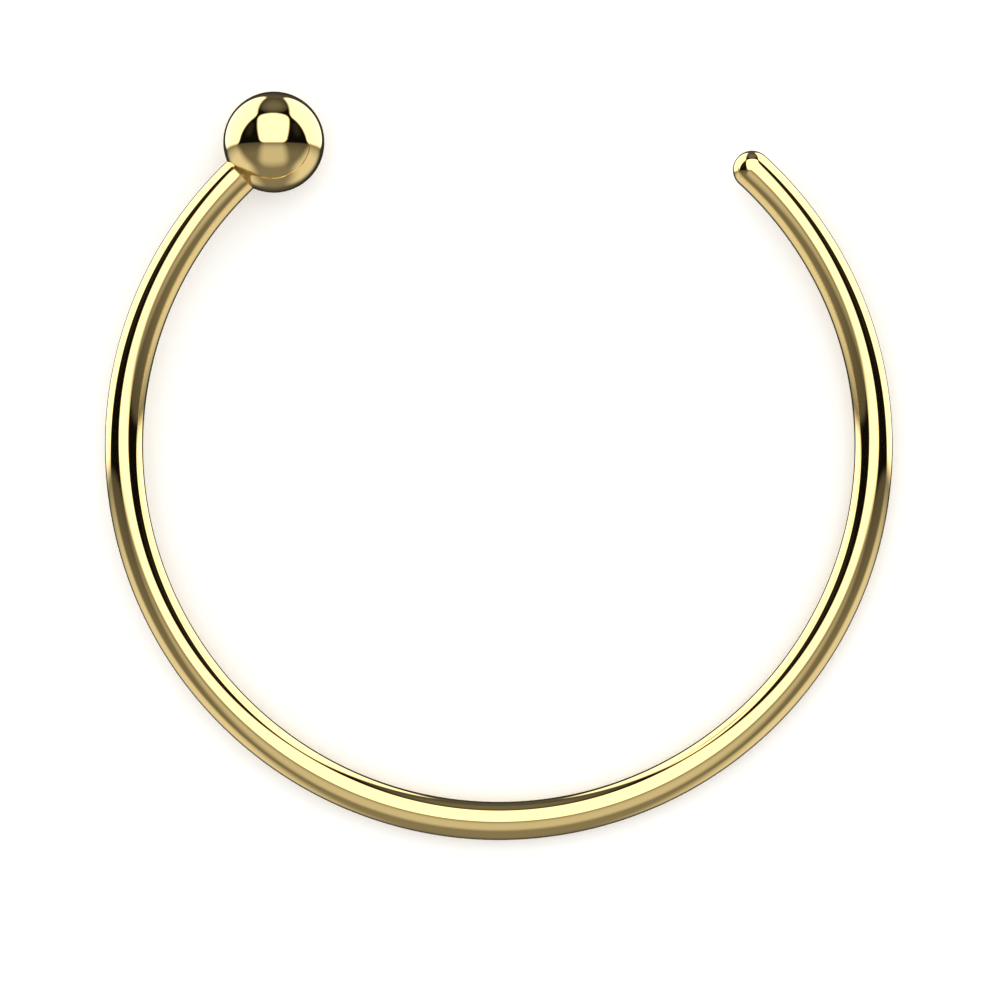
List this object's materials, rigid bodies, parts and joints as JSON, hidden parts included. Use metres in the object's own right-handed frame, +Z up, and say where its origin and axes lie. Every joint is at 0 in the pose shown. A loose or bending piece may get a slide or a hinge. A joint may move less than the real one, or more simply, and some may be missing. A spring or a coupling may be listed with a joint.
{
  "type": "nose ring",
  "caption": "Open nose hoop of thin round gold wire: a soldered ball stops it at one end, and the other end is rounded to slide through a piercing.",
  "frame": {"origin": "centre of the bottom of the bounding box, on the surface that the hoop lies on", "axes": "+Z up, close to the hoop's own axis, which leans 2.4 degrees because the ball is thicker than the wire; the hoop opens towards +Y, with the ball at -X and the free end at +X"},
  "size_m": [0.0106, 0.01, 0.0013],
  "materials": {
    "gold": "mirror-polished yellow gold"
  },
  "bodies": {
    "root": {"nose_hoop": "gold"}
  },
  "joints": []
}
